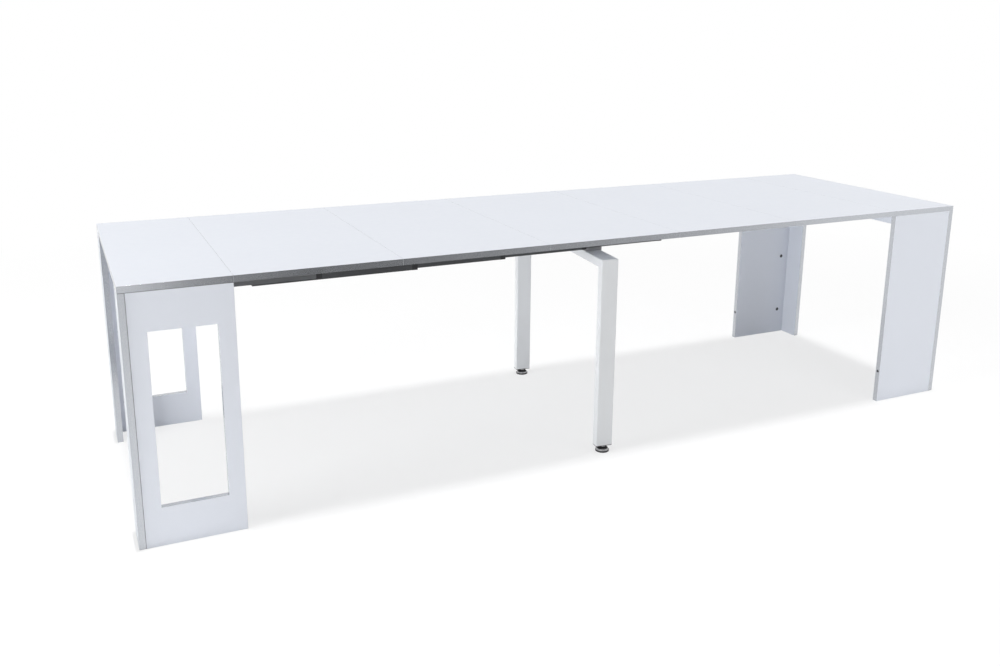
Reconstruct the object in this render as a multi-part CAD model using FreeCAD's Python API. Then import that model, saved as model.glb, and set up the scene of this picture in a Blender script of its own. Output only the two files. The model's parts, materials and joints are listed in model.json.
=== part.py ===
import FreeCAD, Part
import os
from math import radians, tan

# Extending console table, shown fully extended: two consoles on L-shaped board legs, five loose
# leaves between them on a pair of nested telescopic rails, and a steel leg frame under the middle.
# Millimetres. X runs along the table, Y across it (front is -Y), Z up from the floor.
# The origin is on the floor under the middle of the extended table.

# Tops and leaves
TABLE_WIDTH = 900.0
TABLE_HEIGHT = 760.0
TOP_THICKNESS = 19.0
END_TOP_LENGTH = 300.0
LEAF_LENGTH = 488.0
LEAF_COUNT = 5
SEAM = 0.4

# Alignment pins between neighbouring tops
PIN_DIAMETER = 8.0
PIN_SEAT = 15.0
PIN_REACH = 12.0
PIN_SPREAD = 370.0
PIN_SEAT_PLAY = 0.05
PIN_SOCKET_PLAY = 0.3

# L-shaped legs: a wide panel along the side and a narrow return across the end
LEG_BOARD = 19.0
RETURN_WIDTH = 110.0
LEG_SETBACK = 1.0
WINDOW_LOW_RAIL = 116.0
WINDOW_HIGH_RAIL = 113.0
WINDOW_OUTER_STILE = 48.0
WINDOW_INNER_STILE = 47.0

# Cam fittings that pull each wide panel against its return
CAM_DIAMETER = 15.0
CAM_DEPTH = 12.5
CAM_LOW = 112.0
CAM_HIGH = 374.0
CAM_INSET_RIGHT = 37.0
CAM_SLOT_WIDTH = 2.0
CAM_SLOT_DEPTH = 1.5
CAM_BOLT_DIAMETER = 6.0
CAM_BOLT_SEAT = 11.0
FITTING_PLAY = 0.1

# Bumpers on the edges of the wide panels that meet when the table is closed
BUMPER_DIAMETER = 10.0
BUMPER_SEAT = 6.0
BUMPER_PROUD = 0.7
BUMPER_HEIGHT = 122.0

# Aprons under the inner edge of each console top
APRON_DEPTH = 32.0
APRON_THICKNESS = 19.0

# Telescopic rails: channels open at the top, each sliding in the one before it
RAIL_OFFSET = 267.0
RAIL_LEFT_INSET = 71.0
RAIL_RIGHT_INSET = 17.0
STAGES = 8
MEMBER_WALL = 3.0
MEMBER_FLOOR = 3.8
SIDE_PLAY = 0.4
FLOOR_PLAY = 0.4
TOP_PLAY = 0.3
BAR_WIDTH = 12.0
BAR_DEPTH = 28.6
RIB_LEVEL = 9.0
RIB_HEIGHT = 3.0
RIB_DEPTH = 1.6
RIB_PLAY = 0.4
GUIDE_DEPTH = 53.0
FLANGE_WIDTH = 14.0
FLANGE_THICKNESS = 3.0
FLANGE_SETBACK = 15.0
APRON_PLAY = 0.8

# Wood screws that hold the rails to the console tops
SCREW_DIAMETER = 4.0
SCREW_HEAD_DIAMETER = 8.0
SCREW_HEAD_HEIGHT = 2.4
SCREW_BITE = 12.0
SCREW_EDGE = 30.0
GUIDE_SCREWS = 3
BAR_SCREWS = 2

# Centre leg frame of flat steel tube, which stands a little off the middle and out of square
FRAME_WIDTH = 840.0
FRAME_SHIFT = 41.0
FRAME_TURN = 6.1
TUBE_WIDTH = 60.0
TUBE_DEPTH = 30.0
TUBE_WALL = 2.0
TUBE_RADIUS = 3.5
BORE_RADIUS = 1.5
FRAME_PLAY = 0.7
NECK_WIDTH = 30.0
NECK_PLAY = 1.0
SLOT_END_PLAY = 5.0
BOLT_DIAMETER = 6.0
BOLT_HEAD_DIAMETER = 11.0
BOLT_HEAD_HEIGHT = 2.5
BOLT_SPACING = 36.0
BOLT_REACH = 8.0

# Levelling feet
FOOT_HEIGHT = 24.0
FOOT_DIAMETER = 47.0
FOOT_PAD_HEIGHT = 5.0
FOOT_PAD_LEDGE = 1.5
FOOT_CROWN = 15.0
FOOT_BULGE = 3.0
FOOT_COLLAR_DIAMETER = 20.0
STEM_DIAMETER = 10.0
STEM_GRIP = 22.0
STEM_PLAY = 0.06
NUT_WIDTH = 17.0
NUT_HEIGHT = 5.0
INSERT_HEIGHT = 28.0
INSERT_LIP = 2.0
INSERT_PLAY = 0.1

# Places that follow from the sizes above
TABLE_LENGTH = LEAF_COUNT * LEAF_LENGTH + 2 * END_TOP_LENGTH
TABLE_END = TABLE_LENGTH / 2
TABLE_SIDE = TABLE_WIDTH / 2
TOP_UNDERSIDE = TABLE_HEIGHT - TOP_THICKNESS
PIN_LEVEL = TABLE_HEIGHT - TOP_THICKNESS / 2
PIN_ROWS = (-PIN_SPREAD, 0.0, PIN_SPREAD)
INNER_EDGE = TABLE_END - END_TOP_LENGTH
PANEL_EDGE = INNER_EDGE + LEG_SETBACK
RETURN_FACE = TABLE_END - LEG_BOARD
PANEL_FACE = TABLE_SIDE - LEG_BOARD
STAGE_TRAVEL = LEAF_COUNT * LEAF_LENGTH / STAGES
MEMBER_LENGTH = 2 * END_TOP_LENGTH - RAIL_LEFT_INSET - RAIL_RIGHT_INSET
FIRST_CHANNEL = 1
CENTRE_STAGE = STAGES // 2
RAIL_TOP = TOP_UNDERSIDE - TOP_PLAY
RIB_Z = RAIL_TOP - RIB_LEVEL
GUIDE_FACE = BAR_WIDTH / 2 + STAGES * SIDE_PLAY + (STAGES - 1) * MEMBER_WALL
RAIL_HALF_SPACE = GUIDE_FACE + MEMBER_WALL + FLANGE_WIDTH + APRON_PLAY
FLANGE_END = -INNER_EDGE - FLANGE_SETBACK
SIDES = {"front": -1, "back": 1}
ENDS = {"left": -1, "right": 1}


def box(x, y, z):
    """A block between pairs of limits, given in any order."""
    corner = FreeCAD.Vector(min(x), min(y), min(z))
    return Part.makeBox(abs(x[1] - x[0]), abs(y[1] - y[0]), abs(z[1] - z[0]), corner)


def rod(start, direction, length, diameter):
    return Part.makeCylinder(diameter / 2, length, FreeCAD.Vector(*start), FreeCAD.Vector(*direction))


def prism(points, x_start, length):
    """A closed outline of (y, z) points, drawn out along X."""
    corners = [FreeCAD.Vector(x_start, y, z) for y, z in points]
    face = Part.Face(Part.makePolygon(corners + corners[:1]))
    return face.extrude(FreeCAD.Vector(length, 0, 0))


def lathe(points, x, y):
    """A closed outline of (radius, z) points, turned about an upright axis at x, y."""
    corners = [FreeCAD.Vector(x + r, y, z) for r, z in points]
    face = Part.Face(Part.makePolygon(corners + corners[:1]))
    return face.revolve(FreeCAD.Vector(x, y, 0), FreeCAD.Vector(0, 0, 1), 360)


def pin_holes(x, direction, length, play):
    """Three holes in the edge at x, for the pins between neighbouring tops."""
    return [
        rod((x, y, PIN_LEVEL), (direction, 0, 0), length, PIN_DIAMETER + 2 * play)
        for y in PIN_ROWS
    ]


def pin_seats(x):
    return pin_holes(x, 1, PIN_SEAT, PIN_SEAT_PLAY)


def pin_sockets(x):
    return pin_holes(x, -1, PIN_REACH + SEAM + PIN_SEAT_PLAY, PIN_SOCKET_PLAY)


def pins(x):
    """Pins seated in the edge at x, standing out of it towards -X."""
    start = x - SEAM - PIN_REACH
    length = PIN_SEAT + SEAM + PIN_REACH
    places = [(start, y, PIN_LEVEL) for y in PIN_ROWS]
    return Part.makeCompound([rod(place, (1, 0, 0), length, PIN_DIAMETER) for place in places])


def top_board(x_from, x_to):
    return box((x_from, x_to), (-TABLE_SIDE, TABLE_SIDE), (TOP_UNDERSIDE, TABLE_HEIGHT))


def screw_hole(x, y):
    bite = SCREW_BITE + FITTING_PLAY
    return rod((x, y, TOP_UNDERSIDE), (0, 0, 1), bite, SCREW_DIAMETER + 2 * FITTING_PLAY)


def screw(x, y, seat):
    """A pan-head screw driven upwards, with its head under the level called seat."""
    head = rod((x, y, seat - SCREW_HEAD_HEIGHT), (0, 0, 1), SCREW_HEAD_HEIGHT, SCREW_HEAD_DIAMETER)
    return head.fuse(rod((x, y, seat), (0, 0, 1), TOP_UNDERSIDE + SCREW_BITE - seat, SCREW_DIAMETER))


def leaf_edges(number):
    """The X limits of a leaf, counted from the left, with half a seam taken off each edge."""
    left = -INNER_EDGE + (number - 1) * LEAF_LENGTH
    return left + SEAM / 2, left + LEAF_LENGTH - SEAM / 2


def leaf(number):
    left, right = leaf_edges(number)
    return top_board(left, right).cut(pin_seats(left) + pin_sockets(right))


def left_top():
    edge = -INNER_EDGE - SEAM / 2
    holes = [screw_hole(x, y) for x, y in guide_screw_places()]
    return top_board(-TABLE_END, edge).cut(pin_sockets(edge) + holes)


def right_top():
    edge = INNER_EDGE + SEAM / 2
    holes = [screw_hole(x, y) for x, y in bar_screw_places()]
    return top_board(edge, TABLE_END).cut(pin_seats(edge) + holes)


def cam_places(end):
    """X of the cams in a console's wide panels, and their two heights."""
    inset = WINDOW_OUTER_STILE / 2 if end == ENDS["left"] else CAM_INSET_RIGHT
    return end * (RETURN_FACE - inset), (CAM_LOW, CAM_HIGH)


def cam(x, side, z, play=0.0):
    """A cam in the inner face of a wide panel. The play makes the pocket it sits in."""
    face = side * PANEL_FACE
    return rod((x, face, z), (0, side, 0), CAM_DEPTH + play, CAM_DIAMETER + 2 * play)


def slotted_cam(x, side, z):
    face = side * PANEL_FACE
    half = CAM_SLOT_WIDTH / 2
    slot = box(
        (x - CAM_DIAMETER, x + CAM_DIAMETER),
        (face, face + side * CAM_SLOT_DEPTH),
        (z - half, z + half),
    )
    return cam(x, side, z).cut(slot)


def cam_bolt(x, end, side, z, play=0.0):
    """The bolt from the return to the cam. The play makes the bore it sits in."""
    y = side * (PANEL_FACE + LEG_BOARD / 2)
    start = x + end * (CAM_DIAMETER / 2 + FITTING_PLAY - play)
    length = RETURN_FACE + CAM_BOLT_SEAT + play - end * start
    return rod((start, y, z), (end, 0, 0), length, CAM_BOLT_DIAMETER + 2 * play)


def bumper(end, side, play=0.0, proud=0.0):
    """A bumper in the inner edge of a wide panel. The play makes its pocket."""
    y = side * (PANEL_FACE + LEG_BOARD / 2)
    start = end * (PANEL_EDGE - proud)
    length = BUMPER_SEAT + proud + play
    return rod((start, y, BUMPER_HEIGHT), (end, 0, 0), length, BUMPER_DIAMETER + 2 * play)


def wide_panel(end, side):
    panel = box(
        (end * PANEL_EDGE, end * RETURN_FACE),
        (side * PANEL_FACE, side * TABLE_SIDE),
        (0, TOP_UNDERSIDE),
    )
    x, levels = cam_places(end)
    cuts = [cam(x, side, z, FITTING_PLAY) for z in levels]
    cuts += [cam_bolt(x, end, side, z, FITTING_PLAY) for z in levels]
    cuts.append(bumper(end, side, FITTING_PLAY))
    if end == ENDS["left"]:
        cuts.append(storage_window(side))
    return panel.cut(cuts)


def storage_window(side):
    """The hole in a left panel through which the leaves are put away, standing on edge."""
    return box(
        (-RETURN_FACE + WINDOW_OUTER_STILE, -PANEL_EDGE - WINDOW_INNER_STILE),
        (side * (PANEL_FACE - LEG_BOARD), side * (TABLE_SIDE + LEG_BOARD)),
        (WINDOW_LOW_RAIL, TOP_UNDERSIDE - WINDOW_HIGH_RAIL),
    )


def return_panel(end, side):
    board = box(
        (end * RETURN_FACE, end * TABLE_END),
        (side * (TABLE_SIDE - RETURN_WIDTH), side * TABLE_SIDE),
        (0, TOP_UNDERSIDE),
    )
    x, levels = cam_places(end)
    return board.cut([cam_bolt(x, end, side, z, FITTING_PLAY) for z in levels])


def cam_fittings(end):
    x, levels = cam_places(end)
    pieces = []
    for side in SIDES.values():
        for z in levels:
            pieces.append(slotted_cam(x, side, z))
            pieces.append(cam_bolt(x, end, side, z))
    return Part.makeCompound(pieces)


def bumpers(end):
    return Part.makeCompound([bumper(end, side, proud=BUMPER_PROUD) for side in SIDES.values()])


def apron(end, y_from, y_to):
    return box(
        (end * PANEL_EDGE, end * (PANEL_EDGE + APRON_THICKNESS)),
        (y_from, y_to),
        (TOP_UNDERSIDE - APRON_DEPTH, TOP_UNDERSIDE),
    )


def side_apron(end, side):
    return apron(end, side * (RAIL_OFFSET + RAIL_HALF_SPACE), side * PANEL_FACE)


def middle_apron(end):
    reach = RAIL_OFFSET - RAIL_HALF_SPACE
    return apron(end, -reach, reach)


def member_start(stage):
    """X of the left end of a rail member. Stage 0 is the guide on the left console."""
    return -TABLE_END + RAIL_LEFT_INSET + stage * STAGE_TRAVEL


def member_half_width(stage):
    return BAR_WIDTH / 2 + (STAGES - stage) * (MEMBER_WALL + SIDE_PLAY)


def member_bottom(stage):
    return RAIL_TOP - BAR_DEPTH - (STAGES - stage) * (MEMBER_FLOOR + FLOOR_PLAY)


def groove_points(face):
    """The groove in an outer side at y = face, listed from below."""
    half = RIB_HEIGHT / 2 + RIB_PLAY
    floor = face - (RIB_DEPTH - SIDE_PLAY + RIB_PLAY)
    return [(face, RIB_Z - half), (floor, RIB_Z - half), (floor, RIB_Z + half), (face, RIB_Z + half)]


def rib_points(face):
    """The rib on an inner side at y = face, listed from above."""
    half = RIB_HEIGHT / 2
    crest = face - RIB_DEPTH
    return [(face, RIB_Z + half), (crest, RIB_Z + half), (crest, RIB_Z - half), (face, RIB_Z - half)]


def mirrored(half_outline, centre):
    """The whole outline of a section from its +Y half, moved to y = centre."""
    right = [(centre + y, z) for y, z in half_outline]
    left = [(centre - y, z) for y, z in reversed(half_outline)]
    return right + left


def channel(stage, side):
    """A rail member that holds the next one: a floor, two grooved sides and a rib inside each."""
    outer = member_half_width(stage)
    inner = outer - MEMBER_WALL
    bottom = member_bottom(stage)
    half = [(outer, bottom)] + groove_points(outer) + [(outer, RAIL_TOP), (inner, RAIL_TOP)]
    half += rib_points(inner) + [(inner, bottom + MEMBER_FLOOR)]
    solid = prism(mirrored(half, side * RAIL_OFFSET), member_start(stage), MEMBER_LENGTH)
    if stage < CENTRE_STAGE:
        return solid.cut(neck_slot(stage, side))
    if stage == CENTRE_STAGE:
        return solid.cut([bolt(x, y, FITTING_PLAY) for x, y in bolt_places(side)])
    return solid


def neck_slot(stage, side):
    """The slot in a channel's floor that lets the neck of the centre leg in as the table closes."""
    half = NECK_WIDTH / 2 + NECK_PLAY
    x, middle = neck_place(side)
    closed_x = x - (CENTRE_STAGE - stage) * STAGE_TRAVEL
    start = closed_x - TUBE_WIDTH / 2 - SLOT_END_PLAY
    end = member_start(stage) + MEMBER_LENGTH
    bottom = member_bottom(stage)
    return box((start, end), (middle - half, middle + half), (bottom, bottom + MEMBER_FLOOR))


def inner_bar(side):
    """The innermost rail member, a solid bar with a raised land under the right console top."""
    half_width = member_half_width(STAGES)
    half = [(half_width, member_bottom(STAGES))] + groove_points(half_width) + [(half_width, RAIL_TOP)]
    middle = side * RAIL_OFFSET
    start = member_start(STAGES)
    bar = prism(mirrored(half, middle), start, MEMBER_LENGTH)
    land = box(
        (INNER_EDGE + FLANGE_SETBACK, start + MEMBER_LENGTH),
        (middle - half_width, middle + half_width),
        (RAIL_TOP, TOP_UNDERSIDE),
    )
    holes = []
    for x, y in bar_screw_places():
        if y == middle:
            holes.append(bar_screw_bore(x, y))
    return bar.fuse(land).removeSplitter().cut(holes)


def bar_screw_bore(x, y):
    """A through hole for a screw, counterbored for its head."""
    bottom = member_bottom(STAGES)
    recess = SCREW_HEAD_HEIGHT + FITTING_PLAY
    bore = rod((x, y, bottom), (0, 0, 1), TOP_UNDERSIDE - bottom, SCREW_DIAMETER + 2 * FITTING_PLAY)
    return bore.fuse(rod((x, y, bottom), (0, 0, 1), recess, SCREW_HEAD_DIAMETER + 2 * FITTING_PLAY))


def evenly(first, last, count):
    return [first + (last - first) * i / (count - 1) for i in range(count)]


def guide_screw_places():
    """Screws through the two flanges of each guide, in rows along X."""
    rows = evenly(member_start(0) + SCREW_EDGE, FLANGE_END - SCREW_EDGE, GUIDE_SCREWS)
    offset = GUIDE_FACE + MEMBER_WALL + FLANGE_WIDTH / 2
    lines = [s * RAIL_OFFSET + t * offset for s in SIDES.values() for t in (-1, 1)]
    return [(x, y) for x in rows for y in lines]


def bar_screw_places():
    """Screws up through each inner bar, where it lies under the right console top."""
    first = INNER_EDGE + FLANGE_SETBACK + SCREW_EDGE
    last = member_start(STAGES) + MEMBER_LENGTH - SCREW_EDGE
    return [(x, s * RAIL_OFFSET) for x in evenly(first, last, BAR_SCREWS) for s in SIDES.values()]


def guide_angle(side, face_side):
    """One of a guide's two angles: a ribbed wall, and a flange screwed to the left console top."""
    inner = GUIDE_FACE
    outer = inner + MEMBER_WALL
    bottom = TOP_UNDERSIDE - GUIDE_DEPTH
    outline = [(inner, bottom), (outer, bottom), (outer, RAIL_TOP), (inner, RAIL_TOP)] + rib_points(inner)
    middle = side * RAIL_OFFSET
    wall = prism([(middle + face_side * y, z) for y, z in outline], member_start(0), MEMBER_LENGTH)
    flange = box(
        (member_start(0), FLANGE_END),
        (middle + face_side * inner, middle + face_side * (outer + FLANGE_WIDTH)),
        (TOP_UNDERSIDE - FLANGE_THICKNESS, TOP_UNDERSIDE),
    )
    hole_width = SCREW_DIAMETER + 2 * FITTING_PLAY
    holes = [
        rod((x, y, TOP_UNDERSIDE - FLANGE_THICKNESS), (0, 0, 1), FLANGE_THICKNESS, hole_width)
        for x, y in guide_screw_places()
    ]
    return wall.fuse(flange).removeSplitter().cut(holes)


def rail_guide(side):
    return Part.makeCompound([guide_angle(side, face_side) for face_side in (-1, 1)])


def guide_screws():
    seat = TOP_UNDERSIDE - FLANGE_THICKNESS
    return Part.makeCompound([screw(x, y, seat) for x, y in guide_screw_places()])


def bar_screws():
    seat = member_bottom(STAGES) + SCREW_HEAD_HEIGHT + FITTING_PLAY
    return Part.makeCompound([screw(x, y, seat) for x, y in bar_screw_places()])


def frame_top():
    """The top of the centre frame, which passes under the deepest channel as the table closes."""
    return member_bottom(FIRST_CHANNEL) - FRAME_PLAY


def set_in_place(shape):
    """Moves a piece of the centre frame from the frame's own axes to where the frame stands."""
    shape.rotate(FreeCAD.Vector(0, 0, 0), FreeCAD.Vector(0, 0, 1), -FRAME_TURN)
    shape.translate(FreeCAD.Vector(FRAME_SHIFT, 0, 0))
    return shape


def rounded_bar(width, depth, length, radius):
    """A bar standing on the origin, with its four upright edges rounded."""
    bar = box((-width / 2, width / 2), (-depth / 2, depth / 2), (0, length))
    upright_edges = [edge for edge in bar.Edges if edge.BoundBox.ZLength > length / 2]
    return bar.makeFillet(radius, upright_edges)


def tube(length):
    """A length of the frame's tube, standing on the origin."""
    bore = rounded_bar(TUBE_WIDTH - 2 * TUBE_WALL, TUBE_DEPTH - 2 * TUBE_WALL, length, BORE_RADIUS)
    return rounded_bar(TUBE_WIDTH, TUBE_DEPTH, length, TUBE_RADIUS).cut(bore)


def mitre_waste(side, of_upright):
    """The wedge cut off the end of an upright, or of the crossbar, where the two meet."""
    outer = side * FRAME_WIDTH / 2
    inner = side * (FRAME_WIDTH / 2 - TUBE_DEPTH)
    top = frame_top()
    bottom = top - TUBE_DEPTH
    square_corner = (inner, top) if of_upright else (outer, bottom)
    return prism([(outer, top), (inner, bottom), square_corner], -TUBE_WIDTH / 2, TUBE_WIDTH)


def upright_middle(side):
    """The middle of an upright in the frame's own axes."""
    return side * (FRAME_WIDTH - TUBE_DEPTH) / 2


def upright(side):
    post = tube(frame_top() - FOOT_HEIGHT)
    post.translate(FreeCAD.Vector(0, upright_middle(side), FOOT_HEIGHT))
    return set_in_place(post.cut(mitre_waste(side, of_upright=True)))


def crossbar():
    bar = tube(FRAME_WIDTH)
    bar.rotate(FreeCAD.Vector(0, 0, 0), FreeCAD.Vector(1, 0, 0), 90)
    bar.translate(FreeCAD.Vector(0, FRAME_WIDTH / 2, frame_top() - TUBE_DEPTH / 2))
    bar = set_in_place(bar.cut([mitre_waste(side, of_upright=False) for side in SIDES.values()]))
    return bar.cut([bolt(x, y, FITTING_PLAY) for side in SIDES.values() for x, y in bolt_places(side)])


def neck_place(side):
    """X and Y of the point where the crossbar passes under a rail."""
    return FRAME_SHIFT + side * RAIL_OFFSET * tan(radians(FRAME_TURN)), side * RAIL_OFFSET


def bolt_places(side):
    x, y = neck_place(side)
    return [(x - BOLT_SPACING / 2, y), (x + BOLT_SPACING / 2, y)]


def bolt(x, y, play=0.0):
    """A countersunk bolt from the centre channel's floor into the frame. The play makes its hole."""
    floor = member_bottom(CENTRE_STAGE) + MEMBER_FLOOR
    foot = frame_top() - TUBE_WALL - BOLT_REACH
    radius = BOLT_DIAMETER / 2 + play
    head = BOLT_HEAD_DIAMETER / 2 + play
    neck = floor - BOLT_HEAD_HEIGHT - play
    return lathe([(0, foot), (radius, foot), (radius, neck), (head, floor), (0, floor)], x, y)


def bolts():
    return Part.makeCompound([bolt(x, y) for side in SIDES.values() for x, y in bolt_places(side)])


def neck(side):
    """The block between the crossbar and the centre channel."""
    x, y = neck_place(side)
    block = box(
        (x - TUBE_WIDTH / 2, x + TUBE_WIDTH / 2),
        (y - NECK_WIDTH / 2, y + NECK_WIDTH / 2),
        (frame_top(), member_bottom(CENTRE_STAGE)),
    )
    return block.cut([bolt(*place, FITTING_PLAY) for place in bolt_places(side)])


def necks():
    return Part.makeCompound([neck(side) for side in SIDES.values()])


def insert(side):
    """The plug in the open end of an upright, tapped for the stem of its foot."""
    narrowing = 2 * (TUBE_WALL + INSERT_PLAY)
    height = INSERT_HEIGHT + INSERT_LIP
    body = rounded_bar(TUBE_WIDTH - narrowing, TUBE_DEPTH - narrowing, height, BORE_RADIUS)
    lip = rounded_bar(TUBE_WIDTH, TUBE_DEPTH, INSERT_LIP, TUBE_RADIUS)
    bore = rod((0, 0, 0), (0, 0, 1), height, STEM_DIAMETER + 2 * STEM_PLAY)
    plug = body.fuse(lip).cut(bore)
    plug.translate(FreeCAD.Vector(0, upright_middle(side), FOOT_HEIGHT - INSERT_LIP))
    return set_in_place(plug)


def inserts():
    return Part.makeCompound([insert(side) for side in SIDES.values()])


def foot(side):
    """A levelling foot: a round pad, a domed cap on it, and the stem that screws into the upright."""
    y = upright_middle(side)
    pad = FOOT_DIAMETER / 2
    cap = pad - FOOT_PAD_LEDGE
    collar = FOOT_COLLAR_DIAMETER / 2
    stem = STEM_DIAMETER / 2
    tip = FOOT_HEIGHT - INSERT_LIP + STEM_GRIP
    below = [(0, 0), (pad, 0), (pad, FOOT_PAD_HEIGHT), (cap, FOOT_PAD_HEIGHT)]
    above = [(collar, FOOT_CROWN), (stem, FOOT_CROWN), (stem, tip), (0, tip), (0, 0)]
    slope = FreeCAD.Vector(collar - cap, 0, FOOT_CROWN - FOOT_PAD_HEIGHT)
    outward = FreeCAD.Vector(slope.z, 0, -slope.x).normalize()
    points = [[FreeCAD.Vector(r, y, z) for r, z in part] for part in (below, above)]
    bulge = points[0][-1] + slope * 0.5 + outward * FOOT_BULGE
    dome = Part.Arc(points[0][-1], bulge, points[1][0]).toShape()
    wire = Part.Wire(Part.makePolygon(points[0]).Edges + [dome] + Part.makePolygon(points[1]).Edges)
    turned = Part.Face(wire).revolve(FreeCAD.Vector(0, y, 0), FreeCAD.Vector(0, 0, 1), 360)
    return set_in_place(turned)


def lock_nut(side):
    """The hexagon nut that locks a foot's stem against the insert."""
    corner = FreeCAD.Vector(NUT_WIDTH / 3 ** 0.5, 0, 0)
    turn = FreeCAD.Rotation(FreeCAD.Vector(0, 0, 1), 60)
    corners = [corner]
    for _ in range(6):
        corners.append(turn.multVec(corners[-1]))
    hexagon = Part.Face(Part.makePolygon(corners))
    bore = rod((0, 0, 0), (0, 0, 1), NUT_HEIGHT, STEM_DIAMETER + 2 * STEM_PLAY)
    nut = hexagon.extrude(FreeCAD.Vector(0, 0, NUT_HEIGHT)).cut(bore)
    nut.translate(FreeCAD.Vector(0, upright_middle(side), FOOT_HEIGHT - INSERT_LIP - NUT_HEIGHT))
    return set_in_place(nut)


def lock_nuts():
    return Part.makeCompound([lock_nut(side) for side in SIDES.values()])


def console_pieces():
    """The boards and fittings of the two consoles, without the rails."""
    pieces = {"left_top": left_top(), "right_top": right_top()}
    pieces["right_top_pins"] = pins(INNER_EDGE + SEAM / 2)
    for end_name, end in ENDS.items():
        for side_name, side in SIDES.items():
            pieces[f"{end_name}_{side_name}_panel"] = wide_panel(end, side)
            pieces[f"{end_name}_{side_name}_return"] = return_panel(end, side)
            pieces[f"{end_name}_{side_name}_apron"] = side_apron(end, side)
        pieces[f"{end_name}_middle_apron"] = middle_apron(end)
        pieces[f"{end_name}_cam_fittings"] = cam_fittings(end)
        pieces[f"{end_name}_bumpers"] = bumpers(end)
    return pieces


def rail_pieces():
    pieces = {"guide_screws": guide_screws(), "rail_bar_screws": bar_screws()}
    for side_name, side in SIDES.items():
        pieces[f"{side_name}_rail_guide"] = rail_guide(side)
        for stage in range(1, STAGES):
            pieces[f"{side_name}_rail_channel_{stage}"] = channel(stage, side)
        pieces[f"{side_name}_rail_bar"] = inner_bar(side)
    return pieces


def leaf_pieces():
    pieces = {}
    for number in range(1, LEAF_COUNT + 1):
        pieces[f"leaf_{number}"] = leaf(number)
        pieces[f"leaf_{number}_pins"] = pins(leaf_edges(number)[0])
    return pieces


def centre_leg_pieces():
    pieces = {"centre_leg_crossbar": crossbar(), "centre_leg_necks": necks(), "centre_leg_bolts": bolts()}
    pieces["centre_leg_inserts"] = inserts()
    pieces["foot_lock_nuts"] = lock_nuts()
    for side_name, side in SIDES.items():
        pieces[f"centre_leg_{side_name}_upright"] = upright(side)
        pieces[f"{side_name}_foot"] = foot(side)
    return pieces


def main():
    os.makedirs("parts", exist_ok=True)
    pieces = {**console_pieces(), **rail_pieces(), **leaf_pieces(), **centre_leg_pieces()}
    for name, shape in pieces.items():
        shape.exportStep(f"parts/{name}.step")
        print(name, len(shape.Solids), round(shape.Volume, 1), shape.isValid())
    print(len(pieces), "nodes")


main()
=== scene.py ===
import bmesh
import bpy
import json
from math import cos, pi, radians, sin
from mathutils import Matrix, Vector


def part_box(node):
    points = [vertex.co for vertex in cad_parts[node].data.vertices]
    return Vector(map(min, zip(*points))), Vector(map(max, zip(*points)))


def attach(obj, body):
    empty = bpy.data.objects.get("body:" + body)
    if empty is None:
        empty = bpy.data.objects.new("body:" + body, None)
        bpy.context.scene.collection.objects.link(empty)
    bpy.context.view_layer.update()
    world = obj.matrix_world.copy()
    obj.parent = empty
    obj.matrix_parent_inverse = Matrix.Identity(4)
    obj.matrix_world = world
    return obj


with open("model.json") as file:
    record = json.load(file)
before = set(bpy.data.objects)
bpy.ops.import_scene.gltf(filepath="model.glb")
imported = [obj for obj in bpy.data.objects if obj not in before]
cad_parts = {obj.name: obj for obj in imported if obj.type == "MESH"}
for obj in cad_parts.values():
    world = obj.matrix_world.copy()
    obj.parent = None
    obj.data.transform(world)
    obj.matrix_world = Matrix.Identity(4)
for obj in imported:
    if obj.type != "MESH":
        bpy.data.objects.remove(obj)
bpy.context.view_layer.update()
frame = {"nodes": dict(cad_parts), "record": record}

# Camera, fitted to the edges and feet of the table in the photograph
CAMERA_PLACE = (-1.6483, -3.0825, 1.4258)
CAMERA_TURN = (76.186, -0.420, -24.919)
CAMERA_LENS = 35.050
SENSOR_WIDTH = 36.0
CAMERA_SHIFT_Y = -0.0680

# Colours, linear
WHITE_MELAMINE = (0.77, 0.80, 0.865)
SILVER_EDGE = (0.55, 0.57, 0.605)
# Painted shadow in the narrow gaps where the left legs' boards meet each other and the top
GAP_SHADOW_DARK = (0.03, 0.03, 0.035)
LEAF_END_GREY = (0.34, 0.35, 0.37)
GUIDE_GREY = (0.165, 0.17, 0.175)
# Darker than the guide: painted shade of the channels' recess behind the guide
CHANNEL_SHADE_GREY = (0.095, 0.098, 0.102)
FRAME_WHITE = (0.756, 0.772, 0.788)
ZINC = (0.60, 0.60, 0.61)
# Near black for the cam fittings: painted shade of the holes they sit in
CAM_SHADE_GREY = (0.06, 0.06, 0.065)
NECK_GREY = (0.26, 0.26, 0.27)
# Black plastic, also used above the feet's metal ring as painted shade under the tube
BLACK_PLASTIC_AND_FOOT_SHADE = (0.02, 0.02, 0.022)
FOOT_METAL = (0.42, 0.42, 0.43)
BUMPER_GREY = (0.05, 0.05, 0.055)
BEECH = (0.62, 0.44, 0.25)
FLOOR_WHITE = (0.96, 0.96, 0.96)

# Radii that the edges of the boards look rounded by, metres
TOP_ROUND = 0.0002
LEG_ROUND = 0.0012

# Painted shadow lines where the left legs' boards meet each other and the top, metres: their limits,
# counted from a board's face, and how deep they go
LEG_GAP_SHADOW = (-0.00065, 0.00045)
TOP_GAP_SHADOW = (-0.0013, 0.0001)
GAP_SHADOW_DEPTH = 0.0005

# How far from the middle of a seam the dull edging of the leaves reaches, metres
LEAF_EDGING = 0.0005

# Heights between which a foot has its metal ring, metres. The black below it is the pad; the black above
# it is partly painted shade under the leg's tube.
FOOT_RING = (0.0051, 0.0105)

# How metallic the boards' silver banding is
BAND_METAL = 0.9

# The most that a normal has along an axis where the face counts as running along that axis
ALONG_AXIS = 0.35

# The range that most of a noise texture's values lie in
NOISE_MIDDLE = (0.3, 0.7)

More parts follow.
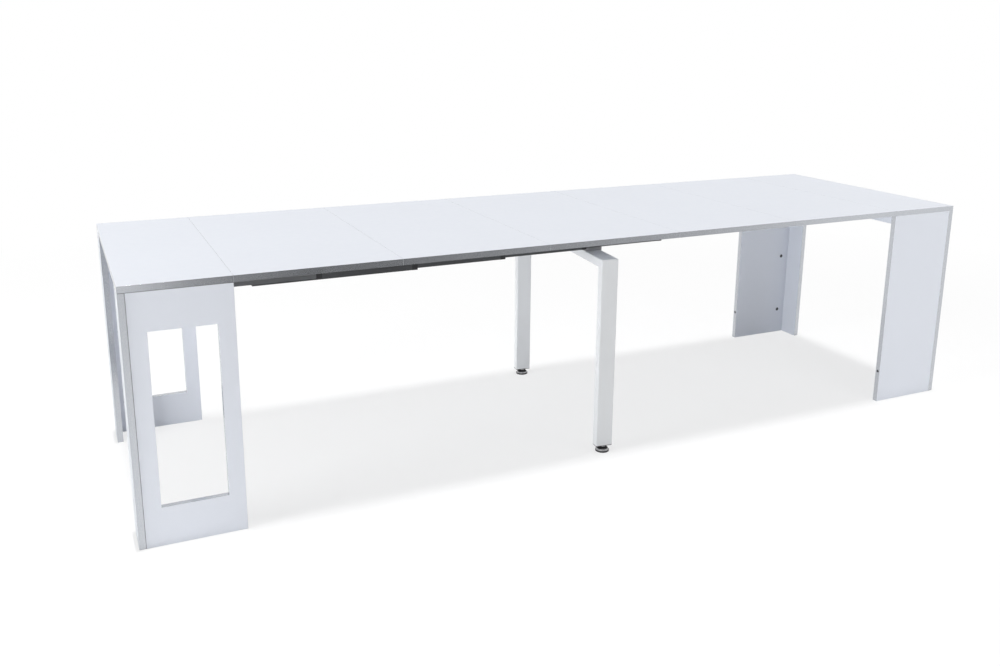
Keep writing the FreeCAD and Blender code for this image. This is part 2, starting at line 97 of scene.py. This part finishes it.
# Black shoes on the corners of each rail member's mouth and the screws in them, metres.
# They are thin enough to slide in the member around them.
# A guide has no floor, so its shoes reach no further in than its wall is thick.
SHOE_LENGTH = 0.018
SHOE_SKIN = 0.00025
SHOE_REACH = 0.006
GUIDE_SHOE_REACH = 0.003
SHOE_DROP = 0.012
SCREW_RADIUS = 0.0024
SCREW_RISE = 0.0001
SCREW_TAPER = 0.8
SCREW_SIDES = 12
GUIDE_FLANGE = 0.014
RAIL_STAGES = 8

# Floor, metres: its side, and the distances from the middle between which it fades to plain white
FLOOR_SIZE = 60.0
FLOOR_FADE = (2.6, 4.2)

# Light, in units that turn white paper facing a lamp white, the paper lying at a soft box's aim
SKY_LIGHT = 0.32
FLOOR_GLOW = 0.68
OVERHEAD_LIGHT = 0.605
OVERHEAD_SPREAD = 8.0
SOFT_BOXES = {
    "left_box": {"place": (-4.0, -0.5, 0.8), "aim": (-1.0, 0.0, 0.4), "size": 1.5, "strength": 1.12},
    "right_box": {"place": (1.5, -2.2, 0.9), "aim": (1.2, 0.0, 0.5), "size": 1.0, "strength": 0.145},
}

# Dark card before the table: its low edge, its high edge, and how pale it is along X
CARD_LOW = (-1.9, 0.02)
CARD_HIGH = (-3.6, 1.5)
CARD_TONES = {-1.4: 1.0, -1.1: 0.38, -0.55: 0.14, 1.2: 0.50, 2.8: 1.0}

# Flags that shade the outer faces of the left legs
FLAG_X = -1.53
FLAG_Y = (0.335, 0.46)
FLAG_HEIGHT = 0.745


def shade(colour, factor):
    return tuple(channel * factor for channel in colour)


class Graph:
    """A material under construction: adds nodes by type and links sockets by name."""

    def __init__(self, name):
        self.material = bpy.data.materials.new(name)
        self.material.use_nodes = True
        self.tree = self.material.node_tree
        self.shader = self.tree.nodes["Principled BSDF"]
        self.output = self.tree.nodes["Material Output"]

    def node(self, kind, **settings):
        made = self.tree.nodes.new("ShaderNode" + kind)
        for key, value in settings.items():
            setattr(made, key, value)
        return made

    def link(self, source, target):
        self.tree.links.new(source, target)

    def set(self, **values):
        """Constant values on the shader's own sockets, with spaces written as underscores."""
        for key, value in values.items():
            self.shader.inputs[key.replace("_", " ")].default_value = value

    def place(self, scale=(1.0, 1.0, 1.0)):
        """Object coordinates, stretched by scale."""
        coordinates = self.node("TexCoord")
        mapping = self.node("Mapping")
        mapping.inputs["Scale"].default_value = scale
        self.link(coordinates.outputs["Object"], mapping.inputs["Vector"])
        return mapping.outputs["Vector"]

    def noise(self, place, scale, detail=2.0, roughness=0.5):
        made = self.node("TexNoise")
        made.inputs["Scale"].default_value = scale
        made.inputs["Detail"].default_value = detail
        made.inputs["Roughness"].default_value = roughness
        self.link(place, made.inputs["Vector"])
        return made.outputs["Fac"]

    def ramp(self, value, source, target):
        """Maps one range of values on to another."""
        made = self.node("MapRange")
        made.inputs["From Min"].default_value, made.inputs["From Max"].default_value = source
        made.inputs["To Min"].default_value, made.inputs["To Max"].default_value = target
        self.link(value, made.inputs["Value"])
        return made.outputs["Result"]

    def span(self, value, low, high):
        """Maps a texture's middle range on to low..high."""
        return self.ramp(value, NOISE_MIDDLE, (low, high))

    def mix(self, factor, first, second):
        """Blends two colours, each a tuple or a socket."""
        made = self.node("Mix", data_type="RGBA")
        self.link(factor, made.inputs["Factor"])
        for socket, colour in ((made.inputs["A"], first), (made.inputs["B"], second)):
            if isinstance(colour, tuple):
                socket.default_value = (*colour, 1.0)
            else:
                self.link(colour, socket)
        return made.outputs["Result"]

    def tint(self, value, colour, darkest, palest=1.0):
        """A colour that a texture varies between two shades of it."""
        return self.mix(self.span(value, 0.0, 1.0), shade(colour, darkest), shade(colour, palest))

    def blend(self, factor, first, second):
        """Blends two numbers that come from sockets."""
        made = self.node("Mix", data_type="FLOAT")
        self.link(factor, made.inputs["Factor"])
        self.link(first, made.inputs["A"])
        self.link(second, made.inputs["B"])
        return made.outputs["Result"]

    def math(self, operation, first, second=None):
        """One step of arithmetic on a socket. The second value is a number, a socket or nothing."""
        made = self.node("Math", operation=operation)
        self.link(first, made.inputs[0])
        if isinstance(second, float):
            made.inputs[1].default_value = second
        elif second is not None:
            self.link(second, made.inputs[1])
        return made.outputs["Value"]

    def part_of(self, vector, axis):
        made = self.node("SeparateXYZ")
        self.link(vector, made.inputs["Vector"])
        return made.outputs[axis]

    def faces_along(self, axis):
        """1 on the faces that run along an axis, 0 on those that face along it."""
        normal = self.node("TexCoord").outputs["Normal"]
        return self.math("LESS_THAN", self.math("ABSOLUTE", self.part_of(normal, axis)), ALONG_AXIS)

    def between(self, axis, limits, start=0.0):
        """1 between two limits along an axis, counted from a start, 0 elsewhere."""
        low, high = limits
        made = self.node("Math", operation="COMPARE")
        self.link(self.part_of(self.place(), axis), made.inputs[0])
        made.inputs[1].default_value = start + (low + high) / 2
        made.inputs[2].default_value = (high - low) / 2
        return made.outputs["Value"]

    def bump(self, height, strength, distance, rounding=0.0):
        """A fine relief, over edges that look rounded by a radius."""
        made = self.node("Bump")
        made.inputs["Strength"].default_value = strength
        made.inputs["Distance"].default_value = distance
        self.link(height, made.inputs["Height"])
        if rounding:
            edges = self.node("Bevel")
            edges.inputs["Radius"].default_value = rounding
            self.link(edges.outputs["Normal"], made.inputs["Normal"])
        self.link(made.outputs["Normal"], self.shader.inputs["Normal"])

    def colour(self, source):
        self.link(source, self.shader.inputs["Base Color"])

    def roughness(self, source):
        self.link(source, self.shader.inputs["Roughness"])

    def metallic(self, source):
        self.link(source, self.shader.inputs["Metallic"])


def left_gap_shadows(graph):
    """1 on the painted shadow lines where the left legs' boards meet each other and the top, on the
    outside, else 0.
    """
    inside_of_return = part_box("left_front_return")[1][0]
    under_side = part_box("left_top")[0][2]
    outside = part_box("left_top")[1][1]
    place = graph.place()
    left = graph.math("LESS_THAN", graph.part_of(place, "X"), 0.0)
    under_top = graph.math("MULTIPLY", graph.between("Z", TOP_GAP_SHADOW, under_side), left)
    lines = graph.math("MAXIMUM", graph.between("X", LEG_GAP_SHADOW, inside_of_return), under_top)
    depth = graph.math("ABSOLUTE", graph.part_of(place, "Y"))
    return graph.math("MULTIPLY", lines, graph.math("GREATER_THAN", depth, outside - GAP_SHADOW_DEPTH))


def away_from_seams(graph):
    """0 on the dull edging of the ends where the tops and leaves meet, 1 elsewhere."""
    first_seam = (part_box("left_top")[1][0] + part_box("leaf_1")[0][0]) / 2
    leaf_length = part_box("leaf_2")[0][0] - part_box("leaf_1")[0][0]
    along = graph.math("SUBTRACT", graph.part_of(graph.place(), "X"), first_seam)
    return graph.math("GREATER_THAN", graph.math("PINGPONG", along, leaf_length / 2), LEAF_EDGING)


def melamine(name, thin_axis):
    """White melamine with a fine pearl texture, and satin silver banding on the board's narrow faces."""
    graph = Graph(name)
    place = graph.place()
    face = graph.tint(graph.noise(place, scale=3.0, detail=4.0), WHITE_MELAMINE, darkest=0.985)
    streaks = graph.noise(place, scale=8.0, detail=3.0)
    band = graph.tint(streaks, SILVER_EDGE, darkest=0.97)
    narrow = graph.faces_along(thin_axis)
    metal = graph.math("MULTIPLY", narrow, BAND_METAL)
    colour = graph.mix(narrow, face, band)
    if thin_axis == "Z":
        rounding = TOP_ROUND
        banded = away_from_seams(graph)
        metal = graph.math("MULTIPLY", metal, banded)
        no_leaf_end = graph.math("MAXIMUM", banded, graph.faces_along("X"))
        colour = graph.mix(no_leaf_end, LEAF_END_GREY, colour)
    else:
        rounding = LEG_ROUND
        # Painted shadow in the gaps between the left legs' boards and under the top
        colour = graph.mix(left_gap_shadows(graph), colour, GAP_SHADOW_DARK)
    graph.colour(colour)
    graph.metallic(metal)
    face_roughness = graph.span(graph.noise(place, scale=45.0, detail=3.0), 0.34, 0.44)
    band_roughness = graph.span(streaks, 0.16, 0.22)
    graph.roughness(graph.blend(narrow, face_roughness, band_roughness))
    graph.bump(graph.noise(place, scale=900.0), strength=0.06, distance=0.0004, rounding=rounding)
    graph.set(Specular_IOR_Level=0.35)
    return graph.material


def rail_metal(name, colour):
    """Dark anodised metal, drawn along X."""
    graph = Graph(name)
    drawn = graph.noise(graph.place((0.6, 40.0, 40.0)), scale=18.0, detail=4.0, roughness=0.6)
    graph.colour(graph.tint(drawn, colour, darkest=0.85, palest=1.15))
    graph.roughness(graph.span(drawn, 0.34, 0.5))
    graph.bump(drawn, strength=0.12, distance=0.0004)
    graph.set(Metallic=0.85)
    return graph.material


def powder_coat(name, colour, smoothest, roughest):
    graph = Graph(name)
    place = graph.place()
    graph.colour(graph.tint(graph.noise(place, scale=6.0, detail=3.0), colour, darkest=0.97))
    graph.roughness(graph.span(graph.noise(place, scale=60.0), smoothest, roughest))
    graph.bump(graph.noise(place, scale=700.0), strength=0.1, distance=0.0005)
    return graph.material


def plated_steel(name):
    graph = Graph(name)
    place = graph.place()
    graph.colour(graph.tint(graph.noise(place, scale=120.0), ZINC, darkest=0.88))
    graph.roughness(graph.span(graph.noise(place, scale=260.0), 0.25, 0.42))
    graph.set(Metallic=1.0)
    return graph.material


def moulded(name, colour, smoothest, roughest):
    graph = Graph(name)
    place = graph.place()
    graph.colour(graph.tint(graph.noise(place, scale=80.0), colour, darkest=0.8, palest=1.2))
    graph.roughness(graph.span(graph.noise(place, scale=150.0), smoothest, roughest))
    graph.bump(graph.noise(place, scale=1200.0), strength=0.08, distance=0.0003)
    return graph.material


def levelling_foot(name):
    """A black plastic foot with a satin metal ring; the black above the ring is partly painted shade
    under the tube.
    """
    graph = Graph(name)
    specks = graph.noise(graph.place(), scale=240.0, detail=3.0)
    ring = graph.between("Z", FOOT_RING)
    metal = graph.tint(specks, FOOT_METAL, darkest=0.85)
    # Black below the ring is the pad; above the ring it is partly painted shade under the tube
    plastic = graph.tint(specks, BLACK_PLASTIC_AND_FOOT_SHADE, darkest=0.8, palest=1.2)
    graph.colour(graph.mix(ring, plastic, metal))
    graph.roughness(graph.blend(ring, graph.span(specks, 0.45, 0.6), graph.span(specks, 0.25, 0.38)))
    graph.metallic(ring)
    return graph.material


def beech(name):
    """Beech with its grain along X."""
    graph = Graph(name)
    grain = graph.noise(graph.place((6.0, 120.0, 120.0)), scale=12.0, detail=4.0)
    graph.colour(graph.tint(grain, BEECH, darkest=0.8))
    graph.roughness(graph.span(grain, 0.5, 0.65))
    graph.bump(grain, strength=0.2, distance=0.0003)
    return graph.material


# Materials by the record's slot
MATERIALS = {
    "rail_aluminium": rail_metal("guide_metal", GUIDE_GREY),
    "frame_paint": powder_coat("frame_coat", FRAME_WHITE, smoothest=0.38, roughest=0.5),
    "zinc_steel": plated_steel("zinc"),
    # The cams' near black is painted shade of the holes they sit in
    "dark_steel": powder_coat("cam_coat_shaded", CAM_SHADE_GREY, smoothest=0.4, roughest=0.55),
    "foot_plastic": levelling_foot("levelling_foot"),
    "insert_plastic": moulded("insert_plastic", BLACK_PLASTIC_AND_FOOT_SHADE, smoothest=0.45, roughest=0.6),
    "bumper_plastic": moulded("bumper_plastic", BUMPER_GREY, smoothest=0.5, roughest=0.65),
    "dowel_wood": beech("dowel_beech"),
}

# Materials of the nodes that look different from others in their slot. The rail channels' darker copy of
# the guide's metal is painted shade of their recess behind the guide and under the top.
SHADED_CHANNEL = rail_metal("channel_metal_shaded", CHANNEL_SHADE_GREY)
NECK = powder_coat("neck_coat", NECK_GREY, smoothest=0.4, roughest=0.55)

# Materials of the boards, by the axis of their thickness
BOARDS = {axis: melamine("board_thin_in_" + axis.lower(), axis) for axis in "XYZ"}


def thin_axis_of(node):
    low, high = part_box(node)
    sides = [high[axis] - low[axis] for axis in range(3)]
    return "XYZ"[sides.index(min(sides))]


def material_of(node, slot):
    if slot == "white_board":
        return BOARDS[thin_axis_of(node)]
    if "rail_channel" in node:
        return SHADED_CHANNEL
    if node == "centre_leg_necks":
        return NECK
    return MATERIALS[slot]


def dress_nodes():
    for subpart in frame["record"]["subparts"]:
        name = subpart["node"]
        material = material_of(name, subpart["material_slot"])
        for slot in frame["nodes"][name].material_slots:
            slot.material = material


def add_object(name, data):
    made = bpy.data.objects.new(name, data)
    bpy.context.scene.collection.objects.link(made)
    return made


def hide_from(made, *rays):
    """Keeps some kinds of ray from meeting an object."""
    for ray in rays:
        setattr(made, "visible_" + ray, False)


def add_prism(mesh, outline, start, end):
    """Adds a solid with a (y, z) outline that runs along X from start to end."""
    rings = [[mesh.verts.new((x, y, z)) for y, z in outline] for x in (start, end)]
    mesh.faces.new(rings[0])
    mesh.faces.new(reversed(rings[1]))
    for i in range(len(outline)):
        mesh.faces.new((rings[0][i - 1], rings[0][i], rings[1][i], rings[1][i - 1]))


def add_screw_head(mesh, centre, outward):
    """Adds a low screw head that stands on a side facing +Y or -Y."""
    x, y, z = centre
    angles = [2 * pi * i / SCREW_SIDES for i in range(SCREW_SIDES)]
    rings = []
    for rise, radius in ((0.0, SCREW_RADIUS), (SCREW_RISE, SCREW_RADIUS * SCREW_TAPER)):
        points = [(x + radius * cos(a), y + outward * rise, z + radius * sin(a)) for a in angles]
        rings.append([mesh.verts.new(point) for point in points])
    faces = [mesh.faces.new(rings[1])]
    for i in range(SCREW_SIDES):
        faces.append(mesh.faces.new((rings[0][i - 1], rings[0][i], rings[1][i], rings[1][i - 1])))
    for face in faces:
        face.material_index = 1


def rail_shoes(node, body, flange=0.0, reach=SHOE_REACH):
    """The two corner shoes at the right-hand mouth of a rail member, with a screw in each."""
    low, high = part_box(node)
    start = high[0] - SHOE_LENGTH
    end = high[0]
    bottom = low[2]
    under = bottom - SHOE_SKIN
    top = high[2] - SHOE_DROP
    mesh = bmesh.new()
    for side, outward in ((low[1] + flange, -1), (high[1] - flange, 1)):
        skin = side + outward * SHOE_SKIN
        inner = side - outward * reach
        wall = [(side, top), (skin, top), (skin, under)]
        lip = [(inner, under), (inner, bottom), (side, bottom)]
        add_prism(mesh, wall + lip, start, end)
        add_screw_head(mesh, ((start + end) / 2, skin, (bottom + top) / 2), outward)
    bmesh.ops.recalc_face_normals(mesh, faces=mesh.faces)
    data = bpy.data.meshes.new(node + "_shoes")
    mesh.to_mesh(data)
    mesh.free()
    for slot in ("insert_plastic", "zinc_steel"):
        data.materials.append(MATERIALS[slot])
    shoes = add_object(node + "_shoes", data)
    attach(shoes, body)


def make_rail_shoes():
    for side in ("front", "back"):
        rail_shoes(side + "_rail_guide", "left_console", GUIDE_FLANGE, GUIDE_SHOE_REACH)
        for stage in range(1, RAIL_STAGES):
            rail_shoes(f"{side}_rail_channel_{stage}", f"rail_stage_{stage}")


def make_camera():
    data = bpy.data.cameras.new("camera")
    data.lens = CAMERA_LENS
    data.sensor_width = SENSOR_WIDTH
    data.shift_y = CAMERA_SHIFT_Y
    camera = add_object("camera", data)
    camera.location = CAMERA_PLACE
    camera.rotation_euler = [radians(angle) for angle in CAMERA_TURN]
    bpy.context.scene.camera = camera


def seen_directly(tree):
    """1 for camera, glossy and transmission rays, 0 for the rays that carry light."""
    path = tree.nodes.new("ShaderNodeLightPath")
    total = path.outputs["Is Camera Ray"]
    for name in ("Is Glossy Ray", "Is Transmission Ray"):
        join = tree.nodes.new("ShaderNodeMath")
        join.operation = "MAXIMUM"
        tree.links.new(total, join.inputs[0])
        tree.links.new(path.outputs[name], join.inputs[1])
        total = join.outputs[0]
    return total


def make_floor():
    """A pale floor that shows white where it is lit and keeps a light shadow of the table."""
    half = FLOOR_SIZE / 2
    mesh = bpy.data.meshes.new("floor")
    corners = [(-half, -half, 0), (half, -half, 0), (half, half, 0), (-half, half, 0)]
    mesh.from_pydata(corners, [], [(0, 1, 2, 3)])
    floor = add_object("floor", mesh)
    graph = Graph("floor_white")
    graph.set(Base_Color=(*FLOOR_WHITE, 1.0), Roughness=0.9)
    glow = graph.node("Emission")
    blend = graph.node("MixShader")
    distance = graph.node("VectorMath", operation="LENGTH")
    graph.link(graph.place(), distance.inputs["Vector"])
    fade = graph.ramp(distance.outputs["Value"], FLOOR_FADE, (FLOOR_GLOW, 1.0))
    graph.link(graph.math("MULTIPLY", fade, seen_directly(graph.tree)), blend.inputs["Fac"])
    graph.link(graph.shader.outputs["BSDF"], blend.inputs[1])
    graph.link(glow.outputs["Emission"], blend.inputs[2])
    graph.link(blend.outputs["Shader"], graph.output.inputs["Surface"])
    mesh.materials.append(graph.material)


def make_world():
    """A plain sky that looks white, and lights the scene more weakly than it looks."""
    world = bpy.data.worlds.new("studio")
    world.use_nodes = True
    bpy.context.scene.world = world
    tree = world.node_tree
    back = tree.nodes["Background"]
    back.inputs["Color"].default_value = (1.0, 1.0, 1.0, 1.0)
    level = tree.nodes.new("ShaderNodeMapRange")
    level.inputs["To Min"].default_value = SKY_LIGHT
    level.inputs["To Max"].default_value = 1.0
    tree.links.new(seen_directly(tree), level.inputs["Value"])
    tree.links.new(level.outputs["Result"], back.inputs["Strength"])


def make_card():
    """A sloping dark card before the table, seen only in what is glossy, like a studio's dark side."""
    mesh = bpy.data.meshes.new("card")
    ends = (min(CARD_TONES), max(CARD_TONES))
    low_edge = [(x, *CARD_LOW) for x in ends]
    high_edge = [(x, *CARD_HIGH) for x in reversed(ends)]
    mesh.from_pydata(low_edge + high_edge, [], [(0, 1, 2, 3)])
    card = add_object("card", mesh)
    hide_from(card, "camera", "diffuse", "shadow")
    graph = Graph("card_grey")
    along = graph.ramp(graph.part_of(graph.place(), "X"), ends, (0.0, 1.0))
    tones = graph.node("ValToRGB")
    stops = tones.color_ramp.elements
    for x in sorted(CARD_TONES)[1:-1]:
        stops.new((x - ends[0]) / (ends[1] - ends[0]))
    for stop, x in zip(stops, sorted(CARD_TONES)):
        stop.color = (CARD_TONES[x], CARD_TONES[x], CARD_TONES[x], 1.0)
    graph.link(along, tones.inputs["Fac"])
    glow = graph.node("Emission")
    graph.link(tones.outputs["Color"], glow.inputs["Color"])
    graph.link(glow.outputs["Emission"], graph.output.inputs["Surface"])
    mesh.materials.append(graph.material)


def make_flags():
    """Two flags that keep the left box's light off the table's left end. They only cast shadows."""
    mesh = bpy.data.meshes.new("flags")
    inner, outer = FLAG_Y
    outline = ((inner, 0.0), (outer, 0.0), (outer, FLAG_HEIGHT), (inner, FLAG_HEIGHT))
    corners = [(FLAG_X, side * y, z) for side in (-1, 1) for y, z in outline]
    mesh.from_pydata(corners, [], [(0, 1, 2, 3), (4, 5, 6, 7)])
    flags = add_object("flags", mesh)
    hide_from(flags, "camera", "diffuse", "glossy", "transmission")


def make_lights():
    """A lamp straight overhead, and soft boxes to the left and the right of the camera."""
    sun = bpy.data.lights.new("overhead", "SUN")
    sun.energy = pi * OVERHEAD_LIGHT
    sun.angle = radians(OVERHEAD_SPREAD)
    add_object("overhead", sun)
    for name, box in SOFT_BOXES.items():
        throw = Vector(box["place"]) - Vector(box["aim"])
        data = bpy.data.lights.new(name, "AREA")
        data.size = box["size"]
        data.energy = (pi * throw.length) ** 2 * box["strength"]
        light = add_object(name, data)
        light.location = box["place"]
        light.rotation_euler = throw.to_track_quat("Z", "Y").to_euler()
        hide_from(light, "camera", "glossy")


dress_nodes()
make_rail_shoes()
make_camera()
make_floor()
make_world()
make_card()
make_flags()
make_lights()
bpy.context.scene.view_settings.view_transform = "Standard"
